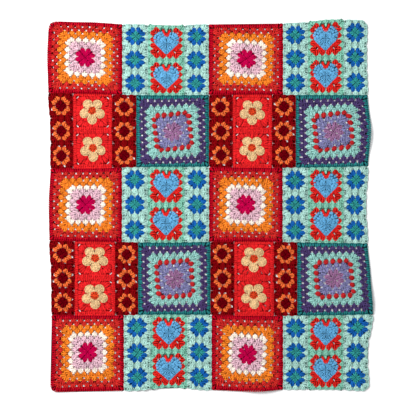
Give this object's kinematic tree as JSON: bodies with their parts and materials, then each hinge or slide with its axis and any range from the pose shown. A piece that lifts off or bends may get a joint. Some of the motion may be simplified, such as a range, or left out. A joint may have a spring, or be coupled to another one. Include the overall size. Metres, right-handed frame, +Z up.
{
  "type": "crochet patchwork blanket",
  "caption": "Crochet patchwork blanket lying flat, of large and small granny squares, heart squares and flower squares joined edge to edge",
  "frame": {"origin": "centre of the bounding box in plan, on the surface that the blanket lies on", "axes": "+Z up out of the blanket's face, +Y along its length to the top edge, +X across its width"},
  "size_m": [0.8764, 1.001, 0.0116],
  "materials": {
    "red_yarn": "matte wool-like yarn",
    "purple_yarn": "matte wool-like yarn",
    "green_yarn": "matte wool-like yarn",
    "bright_red_yarn": "matte wool-like yarn",
    "mint_yarn": "matte wool-like yarn",
    "dark_red_yarn": "matte wool-like yarn"
  },
  "bodies": {
    "root": {"sunrise_row1_col1": "red_yarn", "sunrise_row1_col5": "red_yarn", "sunrise_row3_col1": "red_yarn", "sunrise_row3_col5": "red_yarn", "sunrise_row5_col1": "red_yarn", "sunrise_row5_col5": "red_yarn", "bobble_row2_col4": "purple_yarn", "bobble_row2_col8": "purple_yarn", "bobble_row4_col4": "purple_yarn", "bobble_row4_col8": "purple_yarn", "heart_row1_col3_upper": "green_yarn", "heart_row1_col3_lower": "green_yarn", "heart_row1_col7_upper": "green_yarn", "heart_row1_col7_lower": "green_yarn", "heart_row3_col3_upper": "green_yarn", "heart_row3_col3_lower": "green_yarn", "heart_row3_col7_upper": "green_yarn", "heart_row3_col7_lower": "green_yarn", "heart_row5_col3_upper": "green_yarn", "heart_row5_col3_lower": "green_yarn", "heart_row5_col7_upper": "green_yarn", "heart_row5_col7_lower": "green_yarn", "flower_row2_col2_upper": "bright_red_yarn", "flower_row2_col2_lower": "bright_red_yarn", "flower_row2_col6_upper": "bright_red_yarn", "flower_row2_col6_lower": "bright_red_yarn", "flower_row4_col2_upper": "bright_red_yarn", "flower_row4_col2_lower": "bright_red_yarn", "flower_row4_col6_upper": "bright_red_yarn", "flower_row4_col6_lower": "bright_red_yarn", "blue_strip_row1_col2": "mint_yarn", "blue_strip_row1_col4": "mint_yarn", "blue_strip_row1_col6": "mint_yarn", "blue_strip_row1_col8": "mint_yarn", "blue_strip_row3_col2": "mint_yarn", "blue_strip_row3_col4": "mint_yarn", "blue_strip_row3_col6": "mint_yarn", "blue_strip_row3_col8": "mint_yarn", "blue_strip_row5_col2": "mint_yarn", "blue_strip_row5_col4": "mint_yarn", "blue_strip_row5_col6": "mint_yarn", "blue_strip_row5_col8": "mint_yarn", "orange_strip_row2_col1": "dark_red_yarn", "orange_strip_row2_col3": "dark_red_yarn", "orange_strip_row2_col5": "dark_red_yarn", "orange_strip_row2_col7": "dark_red_yarn", "orange_strip_row4_col1": "dark_red_yarn", "orange_strip_row4_col3": "dark_red_yarn", "orange_strip_row4_col5": "dark_red_yarn", "orange_strip_row4_col7": "dark_red_yarn"}
  },
  "joints": []
}
